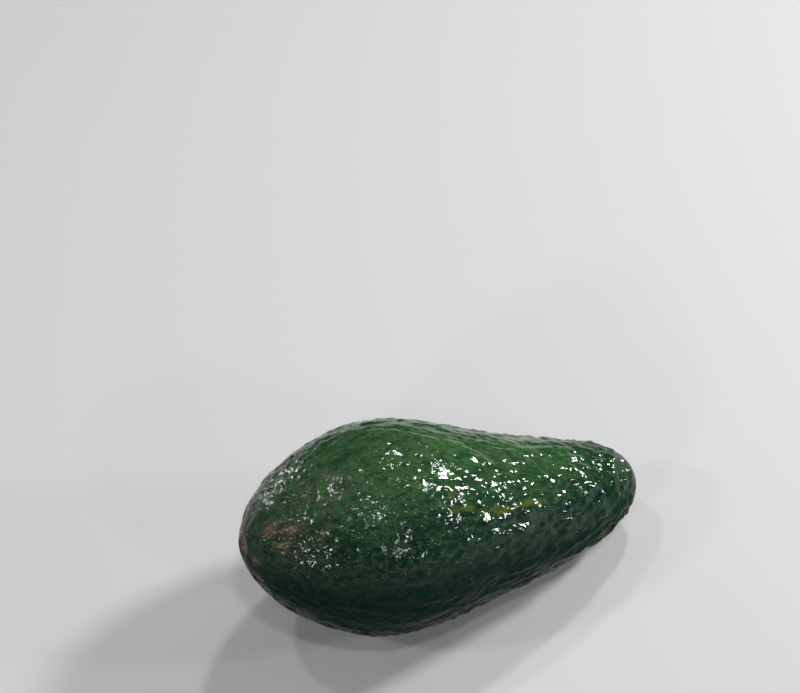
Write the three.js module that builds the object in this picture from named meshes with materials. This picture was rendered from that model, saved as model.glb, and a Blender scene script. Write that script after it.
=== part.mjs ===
/**
 * An avocado lying on its side: one closed skin covered in raised pebbles, and the woody stub of its stalk.
 *
 * Millimetres, +Z up, +X along the fruit towards its stem end. The origin is the middle of the small flat
 * spot that the fruit lies on. The skin is a pear profile swept round a core line that bends sideways in
 * the neck.
 */
import * as THREE from 'three';
import { ConvexHull } from 'three/addons/math/ConvexHull.js';

const TURN = 2 * Math.PI;
const DEGREE = Math.PI / 180;

// The pear profile: stations are (distance along the core line from the blossom end, radius).
const LENGTH = 130;
const BELLY_ALONG = 42.3;
const BELLY_RADIUS = 31.5;
const NECK_ALONG = 90.65;
const NECK_RADIUS = 22.07;
const NECK_SLOPE = 11.74 * DEGREE;
const RIM_RADIUS = 7;
const DIMPLE_DEPTH = 2.4;
const DIMPLE_FLOOR_RADIUS = 4.3;

// How far each Bezier handle of the profile reaches from its own station.
const BLOSSOM_HANDLE = 14.5;
const BELLY_HANDLE_BACK = 18.2;
const BELLY_HANDLE_FORWARD = 15.9;
const NECK_HANDLE_BACK = 20.1;
const NECK_HANDLE_FORWARD = 25.7;
const SHOULDER_HANDLE = 3.4;
const DIMPLE_LIP_HANDLE = 1.6;

// The core line is straight up to here, and then an arc towards +Y.
const BEND_START = 71;
const BEND_ANGLE = 15 * DEGREE;

// The pose at rest: the neck droops until the centre of mass is over the flat spot.
const REST_PITCH = 13.4 * DEGREE;
const FLAT_DEPTH = 0.45;

// Pebbles: their spacing at stations along the fruit, and how high they stand there.
const PEBBLE_STATIONS = [
  { along: 0, pitch: 2.75, height: 0.2 },
  { along: 12, pitch: 3.0, height: 0.34 },
  { along: 40, pitch: 3.55, height: 0.48 },
  { along: 95, pitch: 4.05, height: 0.58 },
  { along: 122, pitch: 3.2, height: 0.36 },
  { along: 130, pitch: 2.5, height: 0.0 },
];
const VALLEY_SHARE = 0.35;
const HEIGHT_LEAST_SHARE = 0.5;
const POLE_PEBBLE_SHARE = 0.5;
const FIRST_SPIRAL_PEBBLE = 3;
const ARC_LEAST = 1;
const SEED_JITTER = 0.42;
const RELAX_ROUNDS = 6;
const RELAX_REACH = 1.12;
const RELAX_STRENGTH = 0.25;
const GOLDEN_ANGLE = Math.PI * (3 - Math.sqrt(5));
const RANDOM_SEED = 20417;

// Smooth rings of points that draw the shoulder, rim and dimple at the stem end: radius and points in each.
const SHOULDER_RINGS = [
  { radius: 9.6, count: 24 },
  { radius: 7.9, count: 22 },
];
const DIMPLE_RINGS = [
  { radius: 6.6, count: 20 },
  { radius: 5.55, count: 18 },
  { radius: 4.3, count: 16 },
  { radius: 2.3, count: 8 },
];

// Broad unevenness: lumps over the whole fruit, shallow ribs on the neck, a small scar at the blossom end.
const LUMP_HEIGHT = 0.32;
const LUMP_WAVES = [
  { share: 1, length: 13, start: 0.4, sway: 0.8, swayStart: 0, turns: 2, turnStart: 0.9 },
  { share: 0.7, length: 7.5, start: 2.1, sway: 1.2, swayStart: TURN / 4, turns: 3, turnStart: 2.3 },
];
const LUMPS_FADE_IN = { from: 4, to: 20 };
const LUMPS_FADE_OUT = { from: 112, to: 126 };
const RIB_HEIGHT = 0.2;
const RIB_WAVES = [
  { share: 1, turns: 9, start: 0.7, twist: 0 },
  { share: 0.6, turns: 5, start: 2, twist: 1 / 30 },
];
const RIB_FROM = 84;
const RIB_FULL = 104;
const RIB_TO = 126;
const SCAR_DEPTH = 0.7;
const SCAR_RADIUS = 1.9;
const SCAR_LIP_HEIGHT = 0.35;
const SCAR_LIP_RADIUS = 3.4;
const SCAR_LIP_WIDTH = 1.1;

// Round the flat spot the skin is calm: no broad unevenness up to the first distance, and all of it from
// the second.
const CALM_INNER = 9;
const CALM_OUTER = 22;

// The stub of the stalk: (height above the dimple's floor, radius), lobed a little, and dished where it
// broke off.
const STUB_GAP = 0.3;
const STUB_PROFILE = [
  [0, 3.05],
  [0.55, 3.4],
  [1.5, 3.25],
  [2.3, 2.55],
  [3.1, 2.15],
  [3.9, 2.2],
  [4.1, 1.8],
  [3.7, 1.0],
];
const STUB_TOP_CENTRE = 3.55;
const STUB_SIDES = 30;
const STUB_LOBES = 5;
const STUB_LOBE_SHARE = 0.05;

const PROFILE_STEPS = 400;

function mulberry32(seed) {
  let state = seed >>> 0;
  return function next() {
    state = (state + 0x6d2b79f5) >>> 0;
    let mixed = Math.imul(state ^ (state >>> 15), state | 1);
    mixed = (mixed + Math.imul(mixed ^ (mixed >>> 7), mixed | 61)) ^ mixed;
    return ((mixed ^ (mixed >>> 14)) >>> 0) / 2 ** 32;
  };
}

function smoothStep(from, to, value) {
  const share = Math.min(1, Math.max(0, (value - from) / (to - from)));
  return share * share * (3 - 2 * share);
}

function bezierPoint(piece, t) {
  const u = 1 - t;
  const weights = [u * u * u, 3 * u * u * t, 3 * u * t * t, t * t * t];
  return [0, 1].map((axis) => weights.reduce((sum, weight, i) => sum + weight * piece[i][axis], 0));
}

function profilePieces() {
  const cos = Math.cos(NECK_SLOPE);
  const sin = Math.sin(NECK_SLOPE);
  const belly = [BELLY_ALONG, BELLY_RADIUS];
  const neck = [NECK_ALONG, NECK_RADIUS];
  const rim = [LENGTH, RIM_RADIUS];
  const floor = LENGTH - DIMPLE_DEPTH;
  const floorEdge = [floor, DIMPLE_FLOOR_RADIUS];
  return [
    [[0, 0], [0, BLOSSOM_HANDLE], [BELLY_ALONG - BELLY_HANDLE_BACK, BELLY_RADIUS], belly],
    [
      belly,
      [BELLY_ALONG + BELLY_HANDLE_FORWARD, BELLY_RADIUS],
      [NECK_ALONG - NECK_HANDLE_BACK * cos, NECK_RADIUS + NECK_HANDLE_BACK * sin],
      neck,
    ],
    [
      neck,
      [NECK_ALONG + NECK_HANDLE_FORWARD * cos, NECK_RADIUS - NECK_HANDLE_FORWARD * sin],
      [LENGTH, RIM_RADIUS + SHOULDER_HANDLE],
      rim,
    ],
    [
      rim,
      [LENGTH, RIM_RADIUS - DIMPLE_LIP_HANDLE],
      [floor, DIMPLE_FLOOR_RADIUS + DIMPLE_LIP_HANDLE],
      floorEdge,
    ],
    [floorEdge, [floor, DIMPLE_FLOOR_RADIUS * (2 / 3)], [floor, DIMPLE_FLOOR_RADIUS / 3], [floor, 0]],
  ];
}

/** Samples of the profile with their arc length, and with the height on a cylinder that keeps angles. */
function makeProfile() {
  const samples = [];
  for (const piece of profilePieces()) {
    for (let step = samples.length ? 1 : 0; step <= PROFILE_STEPS; step += 1) {
      const [along, radius] = bezierPoint(piece, step / PROFILE_STEPS);
      samples.push({ along, radius, arc: 0, map: 0 });
    }
  }
  for (let i = 1; i < samples.length; i += 1) {
    const here = samples[i];
    const last = samples[i - 1];
    const step = Math.hypot(here.along - last.along, here.radius - last.radius);
    here.arc = last.arc + step;
    const middle = (here.radius + last.radius) / 2;
    here.map = i === 1 ? 0 : last.map + step / middle;
  }
  const belly = samples[PROFILE_STEPS].map;
  for (const sample of samples) {
    sample.polar = 2 * Math.atan(Math.exp(sample.map - belly));
  }
  samples[0].polar = 0;
  samples[samples.length - 1].polar = Math.PI;
  return samples;
}

const PROFILE = makeProfile();

/** The profile at the place where one of its rising quantities (arc, polar) has the given value. */
function profileAt(key, value) {
  let low = 0;
  let high = PROFILE.length - 1;
  while (high - low > 1) {
    const middle = (low + high) >> 1;
    if (PROFILE[middle][key] <= value) {
      low = middle;
    } else {
      high = middle;
    }
  }
  const a = PROFILE[low];
  const b = PROFILE[high];
  const share = Math.min(1, Math.max(0, (value - a[key]) / (b[key] - a[key])));
  const step = Math.hypot(b.along - a.along, b.radius - a.radius);
  return {
    along: a.along + (b.along - a.along) * share,
    radius: Math.max(0, a.radius + (b.radius - a.radius) * share),
    arc: a.arc + (b.arc - a.arc) * share,
    polar: a.polar + (b.polar - a.polar) * share,
    tangent: [(b.along - a.along) / step, (b.radius - a.radius) / step],
  };
}

/** The point of the core line at a distance along it, with its forward and sideways directions. */
function coreLine(along) {
  const bendRadius = (LENGTH - BEND_START) / BEND_ANGLE;
  const angle = Math.max(0, along - BEND_START) / bendRadius;
  const cos = Math.cos(angle);
  const sin = Math.sin(angle);
  const straight = Math.min(along, BEND_START);
  return {
    point: new THREE.Vector3(straight + bendRadius * sin, bendRadius * (1 - cos), 0),
    forward: new THREE.Vector3(cos, sin, 0),
    side: new THREE.Vector3(-sin, cos, 0),
  };
}

/** The smooth skin at a profile place and an angle round the core line: point, normal and two tangents. */
function smoothSkin(place, angle) {
  const core = coreLine(place.along);
  const up = new THREE.Vector3(0, 0, 1);
  const spoke = core.side.clone().multiplyScalar(Math.cos(angle)).addScaledVector(up, Math.sin(angle));
  const across = core.side.clone().multiplyScalar(-Math.sin(angle)).addScaledVector(up, Math.cos(angle));
  const [da, dr] = place.tangent;
  return {
    point: core.point.clone().addScaledVector(spoke, place.radius),
    normal: core.forward.clone().multiplyScalar(-dr).addScaledVector(spoke, da),
    lengthways: core.forward.clone().multiplyScalar(da).addScaledVector(spoke, dr),
    across,
  };
}

function stationValue(along, key) {
  const last = PEBBLE_STATIONS.length - 1;
  for (let i = 0; i < last; i += 1) {
    const a = PEBBLE_STATIONS[i];
    const b = PEBBLE_STATIONS[i + 1];
    if (along <= b.along) {
      return a[key] + (b[key] - a[key]) * smoothStep(a.along, b.along, along);
    }
  }
  return PEBBLE_STATIONS[last][key];
}

/** Profile place of a ring of seeds at the stem end: where it has this radius, outside or in the dimple. */
function ringPlace(radius, inDimple) {
  const rimIndex = 3 * PROFILE_STEPS;
  const from = inDimple ? rimIndex : 2 * PROFILE_STEPS;
  let i = from;
  while (PROFILE[i + 1].radius > radius) {
    i += 1;
  }
  const a = PROFILE[i];
  const b = PROFILE[i + 1];
  const share = (a.radius - radius) / (a.radius - b.radius);
  return profileAt('arc', a.arc + (b.arc - a.arc) * share);
}

function ringSeeds() {
  const seeds = [];
  const rings = [
    ...SHOULDER_RINGS.map((ring) => ({ ...ring, inDimple: false })),
    ...DIMPLE_RINGS.map((ring) => ({ ...ring, inDimple: true })),
  ];
  rings.forEach((ring, number) => {
    const { arc } = ringPlace(ring.radius, ring.inDimple);
    for (let i = 0; i < ring.count; i += 1) {
      const turn = (i + (number % 2) / 2) / ring.count;
      seeds.push({ arc, angle: turn * TURN, fixed: true, share: 0 });
    }
  });
  seeds.push({ arc: PROFILE[PROFILE.length - 1].arc, angle: 0, fixed: true, share: 0 });
  return seeds;
}

/** Pebble centres: a spiral of even spacing, shaken, then relaxed until neighbours keep their distance. */
function pebbleSeeds() {
  const random = mulberry32(RANDOM_SEED);
  const rings = ringSeeds();
  const lastArc = rings[0].arc - stationValue(LENGTH, 'pitch');
  const seeds = [{ arc: 0, angle: 0, fixed: true, share: POLE_PEBBLE_SHARE }];
  let count = 0;
  let due = FIRST_SPIRAL_PEBBLE;
  for (let i = 1; i < PROFILE.length && PROFILE[i].arc < lastArc; i += 1) {
    const here = PROFILE[i];
    const pitch = stationValue(here.along, 'pitch');
    const cell = (Math.sqrt(3) / 2) * pitch * pitch;
    count += (TURN * here.radius * (here.arc - PROFILE[i - 1].arc)) / cell;
    while (count > due) {
      const jitter = SEED_JITTER * pitch;
      const arc = here.arc + jitter * (2 * random() - 1);
      const angle = due * GOLDEN_ANGLE + (jitter * (2 * random() - 1)) / here.radius;
      const share = HEIGHT_LEAST_SHARE + (1 - HEIGHT_LEAST_SHARE) * random();
      seeds.push({ arc: Math.min(lastArc, Math.max(pitch / 2, arc)), angle, fixed: false, share });
      due += 1;
    }
  }
  const all = [...seeds, ...rings];
  for (let round = 0; round < RELAX_ROUNDS; round += 1) {
    relax(all, lastArc);
  }
  return all;
}

function relax(seeds, lastArc) {
  const skins = seeds.map((seed) => {
    const place = profileAt('arc', seed.arc);
    const reach = RELAX_REACH * stationValue(place.along, 'pitch');
    return { place, reach, ...smoothSkin(place, seed.angle) };
  });
  const pushes = seeds.map(() => new THREE.Vector3());
  for (let i = 0; i < seeds.length; i += 1) {
    for (let j = i + 1; j < seeds.length; j += 1) {
      const reach = Math.min(skins[i].reach, skins[j].reach);
      const apart = skins[i].point.distanceTo(skins[j].point);
      if (apart > reach || apart === 0) {
        continue;
      }
      const push = (RELAX_STRENGTH * (reach - apart)) / apart;
      const way = skins[i].point.clone().sub(skins[j].point).multiplyScalar(push);
      pushes[i].add(way);
      pushes[j].sub(way);
    }
  }
  seeds.forEach((seed, i) => {
    if (seed.fixed) {
      return;
    }
    const { lengthways, across, place } = skins[i];
    seed.arc = Math.min(lastArc, Math.max(ARC_LEAST, seed.arc + pushes[i].dot(lengthways)));
    seed.angle += pushes[i].dot(across) / place.radius;
  });
}

/** Broad unevenness of the skin, in millimetres outwards. */
function broadRelief(place, angle) {
  const { along, arc } = place;
  const lumps = LUMP_WAVES.reduce((sum, wave) => {
    const sway = wave.sway * Math.sin(angle + wave.swayStart);
    const lengthways = Math.sin(along / wave.length + wave.start + sway);
    return sum + wave.share * lengthways * Math.cos(wave.turns * angle + wave.turnStart);
  }, 0);
  const lumpsIn = smoothStep(LUMPS_FADE_IN.from, LUMPS_FADE_IN.to, arc);
  const lumpsOut = smoothStep(LUMPS_FADE_OUT.from, LUMPS_FADE_OUT.to, along);
  const lumpWindow = lumpsIn * (1 - lumpsOut);
  const ribs = RIB_WAVES.reduce((sum, wave) => {
    return sum + wave.share * Math.cos(wave.turns * angle + wave.start + wave.twist * along);
  }, 0);
  const ribWindow = smoothStep(RIB_FROM, RIB_FULL, along) * (1 - smoothStep(RIB_FULL, RIB_TO, along));
  const scar = SCAR_DEPTH * Math.exp(-((arc / SCAR_RADIUS) ** 2));
  const lip = SCAR_LIP_HEIGHT * Math.exp(-(((arc - SCAR_LIP_RADIUS) / SCAR_LIP_WIDTH) ** 2));
  return LUMP_HEIGHT * lumps * lumpWindow + RIB_HEIGHT * ribs * ribWindow - scar + lip;
}

/** Turns a point of the fruit's own frame into the pose at rest, before it is set down. */
function droop(point) {
  return point.clone().applyAxisAngle(new THREE.Vector3(0, 1, 0), REST_PITCH);
}

/** The lowest point of the smooth skin in the pose at rest. */
function restContact() {
  let lowest = null;
  for (const sample of PROFILE) {
    const place = profileAt('arc', sample.arc);
    const point = droop(smoothSkin(place, -Math.PI / 2).point);
    if (!lowest || point.z < lowest.z) {
      lowest = point;
    }
  }
  return lowest;
}

const CONTACT = restContact();

/** Sets a point down on the surface that the fruit lies on. */
function setDown(point) {
  const placed = droop(point).sub(CONTACT);
  placed.z = Math.max(0, placed.z - FLAT_DEPTH);
  return placed;
}

/** A vertex of the skin, moved outwards by the broad relief and by its own rise. */
function skinVertex(place, angle, rise) {
  const skin = smoothSkin(place, angle);
  const away = droop(skin.point).distanceTo(CONTACT);
  const calm = smoothStep(CALM_INNER, CALM_OUTER, away);
  const relief = broadRelief(place, angle) * calm + rise;
  return setDown(skin.point.addScaledVector(skin.normal, relief));
}

function sphereDirection(place, angle) {
  const round = Math.sin(place.polar);
  return new THREE.Vector3(round * Math.cos(angle), round * Math.sin(angle), Math.cos(place.polar));
}

/** The skin: an apex in each pebble and a valley point between every three, joined as fans round them. */
function skinGeometry() {
  const seeds = pebbleSeeds();
  const places = seeds.map((seed) => profileAt('arc', seed.arc));
  const directions = seeds.map((seed, i) => sphereDirection(places[i], seed.angle));
  const numberOf = new Map(directions.map((direction, i) => [direction, i]));
  const apexes = seeds.map((seed, i) => {
    const height = stationValue(places[i].along, 'height');
    return skinVertex(places[i], seed.angle, height * seed.share);
  });
  const triangles = [];
  const valleys = new Map();
  const hull = new ConvexHull().setFromPoints(directions);
  for (const face of hull.faces) {
    const corners = [];
    let edge = face.edge;
    do {
      corners.push(numberOf.get(edge.head().point));
      edge = edge.next;
    } while (edge !== face.edge);
    const centre = new THREE.Vector3();
    corners.forEach((corner) => centre.add(directions[corner]));
    centre.normalize();
    const place = profileAt('polar', Math.acos(Math.min(1, Math.max(-1, centre.z))));
    const angle = Math.atan2(centre.y, centre.x);
    const smooth = corners.some((corner) => seeds[corner].share === 0);
    const depth = smooth ? 0 : VALLEY_SHARE * stationValue(place.along, 'height');
    const valley = skinVertex(place, angle, -depth);
    corners.forEach((corner, i) => {
      const next = corners[(i + 1) % corners.length];
      valleys.set(`${corner} ${next}`, valley);
    });
  }
  for (const [key, left] of valleys) {
    const [from, to] = key.split(' ').map(Number);
    const right = valleys.get(`${to} ${from}`);
    triangles.push([apexes[from], left, right]);
  }
  return soupGeometry(triangles);
}

function soupGeometry(triangles) {
  const numbers = triangles.flatMap((corners) => corners.flatMap((corner) => [corner.x, corner.y, corner.z]));
  const geometry = new THREE.BufferGeometry();
  geometry.setAttribute('position', new THREE.Float32BufferAttribute(numbers, 3));
  geometry.computeVertexNormals();
  return geometry;
}

/** The stub of the stalk, standing on the dimple's floor. */
function stubGeometry() {
  const core = coreLine(LENGTH - DIMPLE_DEPTH);
  const up = new THREE.Vector3(0, 0, 1);
  const at = (height, radius, angle) => {
    const lobed = radius * (1 + STUB_LOBE_SHARE * Math.cos(STUB_LOBES * angle + height));
    const point = core.point.clone().addScaledVector(core.forward, height + STUB_GAP);
    point.addScaledVector(core.side, lobed * Math.cos(angle)).addScaledVector(up, lobed * Math.sin(angle));
    return droop(point).sub(CONTACT).sub(new THREE.Vector3(0, 0, FLAT_DEPTH));
  };
  const angles = Array.from({ length: STUB_SIDES }, (_, i) => (i * TURN) / STUB_SIDES);
  const rings = STUB_PROFILE.map(([height, radius]) => angles.map((angle) => at(height, radius, angle)));
  const bottom = at(0, 0, 0);
  const top = at(STUB_TOP_CENTRE, 0, 0);
  const triangles = [];
  for (let i = 0; i < STUB_SIDES; i += 1) {
    const j = (i + 1) % STUB_SIDES;
    triangles.push([bottom, rings[0][j], rings[0][i]]);
    for (let k = 0; k + 1 < rings.length; k += 1) {
      triangles.push([rings[k][i], rings[k][j], rings[k + 1][j]]);
      triangles.push([rings[k][i], rings[k + 1][j], rings[k + 1][i]]);
    }
    const last = rings[rings.length - 1];
    triangles.push([top, last[i], last[j]]);
  }
  return soupGeometry(triangles);
}

function skinMaterial() {
  return new THREE.MeshStandardMaterial({ name: 'skin', color: 0x3c6b35, metalness: 0, roughness: 0.35 });
}

function stubMaterial() {
  return new THREE.MeshStandardMaterial({ name: 'stub', color: 0x6b5234, metalness: 0, roughness: 0.85 });
}

const fruit = new THREE.Mesh(skinGeometry(), skinMaterial());
fruit.name = 'fruit';

const stemButton = new THREE.Mesh(stubGeometry(), stubMaterial());
stemButton.name = 'stem_button';

const avocado = new THREE.Group();
avocado.add(fruit, stemButton);

export default avocado;
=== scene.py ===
"""Looks of the avocado: the fine pebbled skin, the woody stub of its stalk, studio light and camera.

The skin is the CAD part's own pear surface, worked out again from the same named values at a finer pitch,
so that the raised pebbles stand where the CAD solid has them, give or take a fifth of their spacing. Sizes of
the fruit are in millimetres, and Blender's in metres.
"""

import math

import bpy
import numpy as np
from mathutils import Matrix, Vector, noise
from mathutils.kdtree import KDTree


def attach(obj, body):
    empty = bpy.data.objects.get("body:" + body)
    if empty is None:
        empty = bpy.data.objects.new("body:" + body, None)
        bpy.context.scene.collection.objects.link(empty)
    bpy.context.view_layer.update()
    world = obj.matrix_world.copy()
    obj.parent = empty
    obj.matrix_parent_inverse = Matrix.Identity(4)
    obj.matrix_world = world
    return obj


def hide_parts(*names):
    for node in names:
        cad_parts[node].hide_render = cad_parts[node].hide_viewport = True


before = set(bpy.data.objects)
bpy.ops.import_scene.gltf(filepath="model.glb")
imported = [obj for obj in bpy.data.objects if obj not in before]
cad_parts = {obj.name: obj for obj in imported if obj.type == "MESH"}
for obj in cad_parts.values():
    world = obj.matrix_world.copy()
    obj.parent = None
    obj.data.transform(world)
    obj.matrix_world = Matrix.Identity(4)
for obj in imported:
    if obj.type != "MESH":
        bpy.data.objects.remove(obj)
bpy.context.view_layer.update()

MM = 0.001
TURN = 2 * math.pi

# The pear profile: distance along the core line from the blossom end, and radius.
LENGTH = 130.0
BELLY = (42.3, 31.5)
NECK = (90.65, 22.07)
NECK_SLOPE = math.radians(11.74)
RIM_RADIUS = 7.0
DIMPLE_DEPTH = 2.4
DIMPLE_FLOOR_RADIUS = 4.3

# How far each Bezier handle of the profile reaches from its own station.
BLOSSOM_HANDLE = 14.5
BELLY_HANDLE_BACK = 18.2
BELLY_HANDLE_FORWARD = 15.9
NECK_HANDLE_BACK = 20.1
NECK_HANDLE_FORWARD = 25.7
SHOULDER_HANDLE = 3.4
DIMPLE_LIP_HANDLE = 1.6
PROFILE_STEPS = 400

# Where in the profile's rows the neck's own station is, and where the rim of the dimple is.
NECK_ROW = 2 * PROFILE_STEPS
RIM_ROW = 3 * PROFILE_STEPS

# The core line is straight up to here, and then an arc towards +Y.
BEND_START = 71.0
BEND_ANGLE = math.radians(15)

# The pose at rest.
REST_PITCH = math.radians(13.4)
FLAT_DEPTH = 0.45

# Pebbles: the stations along the fruit, and the spacing of the pebbles at each.
PEBBLE_ALONG = (0, 12, 40, 95, 122, 130)
PEBBLE_PITCH = (2.75, 3.0, 3.55, 4.05, 3.2, 2.5)
HEIGHT_LEAST_SHARE = 0.5
POLE_PEBBLE_SHARE = 0.5
FIRST_SPIRAL_PEBBLE = 3
LEAST_ARC = 1
SEED_JITTER = 0.42
RELAX_ROUNDS = 6
RELAX_REACH = 1.12
RELAX_STRENGTH = 0.25
GOLDEN_ANGLE = math.pi * (3 - math.sqrt(5))
RANDOM_SEED = 20417

# Smooth rings at the stem end, as radius and number of points.
SHOULDER_RINGS = ((9.6, 24), (7.9, 22))
DIMPLE_RINGS = ((6.6, 20), (5.55, 18), (4.3, 16), (2.3, 8))

# Broad unevenness of the skin. Each wave of the lumps has a share of their height, a length and a start along
# the fruit, a sway of that start round the fruit, and a number of turns round it with a start of their own.
LUMP_HEIGHT = 0.32
LUMP_WAVES = (
    {
        "share": 1,
        "length": 13,
        "start": 0.4,
        "sway": 0.8,
        "sway_start": 0,
        "turns": 2,
        "turn_start": 0.9,
    },
    {
        "share": 0.7,
        "length": 7.5,
        "start": 2.1,
        "sway": 1.2,
        "sway_start": TURN / 4,
        "turns": 3,
        "turn_start": 2.3,
    },
)
LUMPS_FADE_IN = (4, 20)
LUMPS_FADE_OUT = (112, 126)
RIB_HEIGHT = 0.2
RIB_WAVES = (
    {"share": 1, "turns": 9, "start": 0.7, "twist": 0},
    {"share": 0.6, "turns": 5, "start": 2, "twist": 1 / 30},
)
RIB_FROM = 84
RIB_FULL = 104
RIB_TO = 126
SCAR_DEPTH = 0.7
SCAR_RADIUS = 1.9
SCAR_LIP_HEIGHT = 0.35
SCAR_LIP_RADIUS = 3.4
SCAR_LIP_WIDTH = 1.1

# Near the flat spot the broad unevenness fades out: none up to the inner distance, all from the outer one.
CALM_INNER = 9
CALM_OUTER = 22

# The fine skin: domes in the pebbles, waves and ripples between them, ridges on the neck, and wrinkles that
# run to the blossom end. Rows of heights hold at the pebble stations. A dome's reach and shift are shares of
# the pebbles' spacing there.
FINE_STEP = 0.465
LEAST_IN_RING = 8
DOME_HEIGHT = (0.08, 0.15, 0.24, 0.38, 0.32, 0.1)
DOME_RADIUS_SHARE = 0.39
DOME_SINK_SHARE = 0.15
DOME_STRETCH = 1.75
DOME_SHIFT_SHARE = 0.2
DOME_LEAST_SIZE = 0.25
DOME_SEED = 77
DOME_STRETCH_ALONG = (20, 80)
NEIGHBOURS = 3
WAVE_HEIGHT = (0.2, 0.32, 0.45, 0.62, 0.55, 0.35)
WAVE_ALONG = 7.5
WAVE_ACROSS = 3.2
RIPPLE_HEIGHT = (0.2, 0.28, 0.15, 0.1, 0.16, 0.16)
RIPPLE_ALONG = 2.6
RIPPLE_ACROSS = 1.5
RIDGE_HEIGHT = 0.55
RIDGE_ALONG = 13.0
RIDGE_ACROSS = 2.3
RIDGE_FADE_IN = (84, 104)
WRINKLE_HEIGHT = 0.2
WRINKLE_COUNT = 15
WRINKLE_LENGTH = 7.0
WRINKLE_DRAW = 31.0

# Where the fine relief fades in, by arc length, and out, by distance along the fruit. The wrinkles fade in
# and out by arc length.
RELIEF_FADE_IN = (2, 10)
RELIEF_FADE_OUT = (125, 130)
WRINKLE_FADE_IN = (3, 8)
WRINKLE_FADE_OUT = (24, 50)

# The stub of the stalk. It stands clear of the dimple's floor by the gap, and its profile gives height and
# radius.
STUB_GAP = 0.3
STUB_PROFILE = (
    (0, 3.05),
    (0.55, 3.4),
    (1.5, 3.25),
    (2.3, 2.55),
    (3.1, 2.15),
    (3.9, 2.2),
    (4.1, 1.8),
    (3.7, 1.0),
)
STUB_TOP_CENTRE = 3.55
STUB_LOBES = 5
STUB_LOBE_SHARE = 0.05
STUB_SIDES = 96
STUB_RINGS_BETWEEN = 6
STUB_SMOOTHING = 3

# Grain in the stub's side: height, how fine it is round the stub, and how fine up it.
STUB_GRAIN = ((0.05, 4, 0.8), (0.05, 9, 3))

# The camera: where it looks from, and the pixel of the 800 x 693 frame on which the fruit's middle lands.
FRAME_WIDTH = 800
FRAME_HEIGHT = 693
LENS_MM = 85.0
SENSOR_MM = 36.0
CAMERA_AZIMUTH = math.radians(-22.25)
CAMERA_ELEVATION = math.radians(43)
PIXELS_PER_MM = 3.3819
MIDDLE_ALONG = 54.31
MIDDLE_PIXEL = (414.51, 522.66)
CLIP_START = 0.01


def smooth_step(start, end, value):
    share = np.clip((np.asarray(value, float) - start) / (end - start), 0, 1)
    return share * share * (3 - 2 * share)


def random_numbers(seed):
    """The same evenly spread draws, in the same order, as the CAD part makes."""
    mask = 0xFFFFFFFF
    state = seed & mask
    while True:
        state = (state + 0x6D2B79F5) & mask
        mixed = ((state ^ (state >> 15)) * (state | 1)) & mask
        mixed = ((mixed + (((mixed ^ (mixed >> 7)) * (mixed | 61)) & mask)) & mask) ^ mixed
        yield (mixed ^ (mixed >> 14)) / 2**32


def bezier(p0, p1, p2, p3):
    t = np.linspace(0, 1, PROFILE_STEPS + 1)[:, None]
    u = 1 - t
    return u**3 * p0 + 3 * u * u * t * p1 + 3 * u * t * t * p2 + t**3 * p3


def make_profile():
    """Rows of along, radius and arc length, from the blossom end to the middle of the dimple's floor."""
    cos, sin = math.cos(NECK_SLOPE), math.sin(NECK_SLOPE)
    floor = LENGTH - DIMPLE_DEPTH
    corners = [
        ((0, 0), (0, BLOSSOM_HANDLE), (BELLY[0] - BELLY_HANDLE_BACK, BELLY[1]), BELLY),
        (
            BELLY,
            (BELLY[0] + BELLY_HANDLE_FORWARD, BELLY[1]),
            (NECK[0] - NECK_HANDLE_BACK * cos, NECK[1] + NECK_HANDLE_BACK * sin),
            NECK,
        ),
        (
            NECK,
            (NECK[0] + NECK_HANDLE_FORWARD * cos, NECK[1] - NECK_HANDLE_FORWARD * sin),
            (LENGTH, RIM_RADIUS + SHOULDER_HANDLE),
            (LENGTH, RIM_RADIUS),
        ),
        (
            (LENGTH, RIM_RADIUS),
            (LENGTH, RIM_RADIUS - DIMPLE_LIP_HANDLE),
            (floor, DIMPLE_FLOOR_RADIUS + DIMPLE_LIP_HANDLE),
            (floor, DIMPLE_FLOOR_RADIUS),
        ),
        (
            (floor, DIMPLE_FLOOR_RADIUS),
            (floor, DIMPLE_FLOOR_RADIUS * 2 / 3),
            (floor, DIMPLE_FLOOR_RADIUS / 3),
            (floor, 0),
        ),
    ]
    pieces = [bezier(*[np.array(corner, float) for corner in piece]) for piece in corners]
    points = np.concatenate([pieces[0]] + [piece[1:] for piece in pieces[1:]])
    steps = np.hypot(*np.diff(points, axis=0).T)
    arc = np.concatenate([[0], np.cumsum(steps)])
    return points[:, 0], points[:, 1], arc


ALONG, RADIUS, ARC = make_profile()
TANGENT_ALONG = np.gradient(ALONG, ARC)
TANGENT_RADIUS = np.gradient(RADIUS, ARC)


def core_line(along):
    """Points of the core line, with its forward and sideways directions, for an array of distances."""
    along = np.asarray(along, float)
    bend_radius = (LENGTH - BEND_START) / BEND_ANGLE
    angle = np.maximum(0, along - BEND_START) / bend_radius
    cos, sin, zero = np.cos(angle), np.sin(angle), np.zeros_like(angle)
    straight = np.minimum(along, BEND_START)
    point = np.stack([straight + bend_radius * sin, bend_radius * (1 - cos), zero], -1)
    return point, np.stack([cos, sin, zero], -1), np.stack([-sin, cos, zero], -1)


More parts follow.
